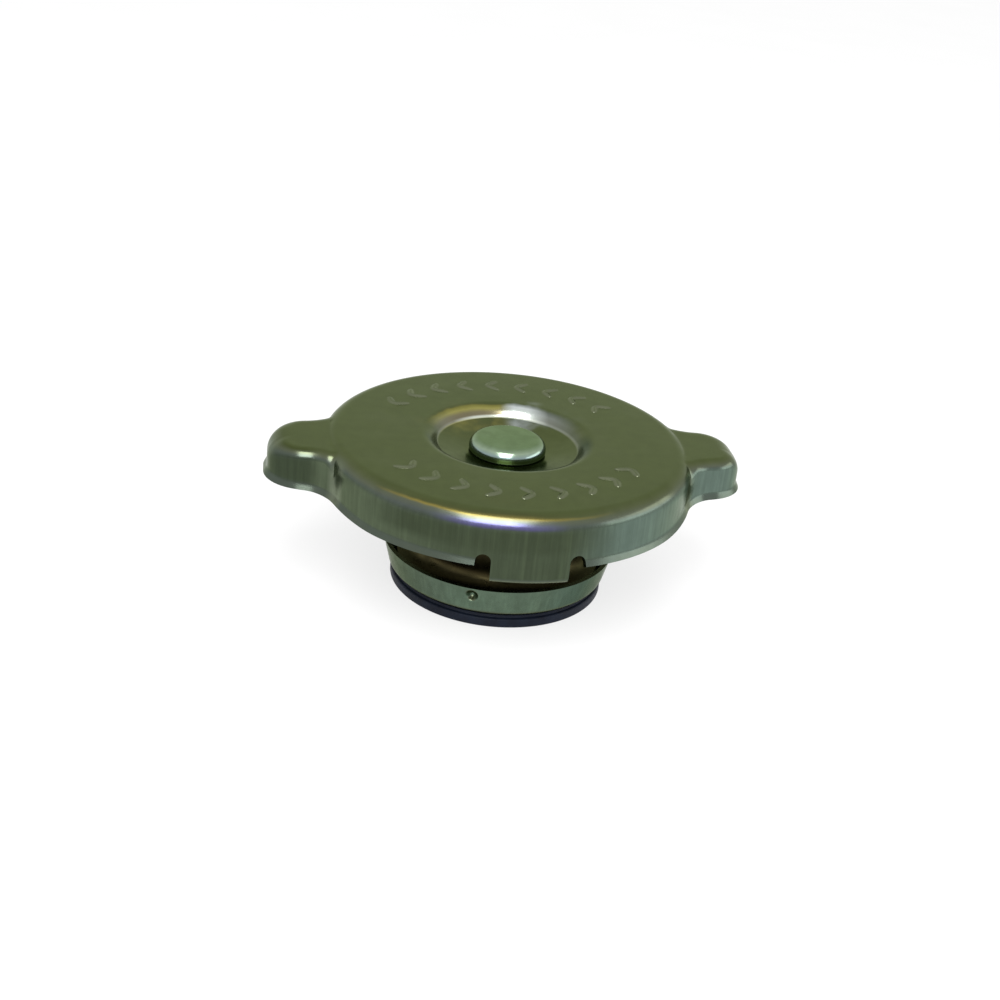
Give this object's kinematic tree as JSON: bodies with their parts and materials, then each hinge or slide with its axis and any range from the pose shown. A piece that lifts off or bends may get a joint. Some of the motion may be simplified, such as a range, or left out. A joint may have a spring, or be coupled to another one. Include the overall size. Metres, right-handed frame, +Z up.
{
  "type": "radiator cap",
  "caption": "Pressed steel pressure cap for a radiator filler neck, with grip ears, cam tabs, a swivelling sprung pressure valve with a rubber seal, and a small vacuum valve in its centre.",
  "frame": {"origin": "centre of the seal's lower face, on the cap's axis, which is the level that the cap stands on", "axes": "+Z up along the rivet, +X through the grip ears, cam tabs at +Y and -Y"},
  "size_m": [0.0862, 0.066, 0.0283],
  "materials": {
    "shell_plate": "satin olive passivated zinc plate on pressed steel",
    "rivet_steel": "bright passivated zinc plate on solid steel",
    "spring_steel": "satin spring steel",
    "bell_plate": "satin bronze-brown passivated plate",
    "cup_plate": "satin grey-olive passivated plate",
    "seal_rubber": "matt black moulded rubber",
    "valve_brass": "satin brass"
  },
  "bodies": {
    "shell": {"shell": "shell_plate", "rivet": "rivet_steel", "rivet_washer": "rivet_steel"},
    "bell": {"bell": "bell_plate", "friction_spring": "spring_steel", "pressure_spring": "spring_steel"},
    "pressure_valve": {"valve_cup": "cup_plate", "seal": "seal_rubber", "seal_retainer": "cup_plate", "vacuum_spring": "spring_steel"},
    "vacuum_valve": {"vacuum_disc": "valve_brass", "vacuum_stem": "valve_brass", "stem_clip": "spring_steel"}
  },
  "joints": [
    {"name": "valve_swivel", "type": "hinge", "parent": "shell", "child": "bell", "pos_m": [0, 0, 0.0235], "axis": [0, 0, 1], "continuous": true},
    {"name": "pressure_valve_lift", "type": "slide", "parent": "bell", "child": "pressure_valve", "axis": [0, 0, 1], "range_m": [0, 0.0013], "stiffness_N_per_m": 4200, "springref_m": -0.0005, "deforming": ["pressure_spring"]},
    {"name": "vacuum_valve_drop", "type": "slide", "parent": "pressure_valve", "child": "vacuum_valve", "axis": [0, 0, -1], "range_m": [0, 0.0015], "stiffness_N_per_m": 60, "springref_m": -0.001, "deforming": ["vacuum_spring"]}
  ]
}
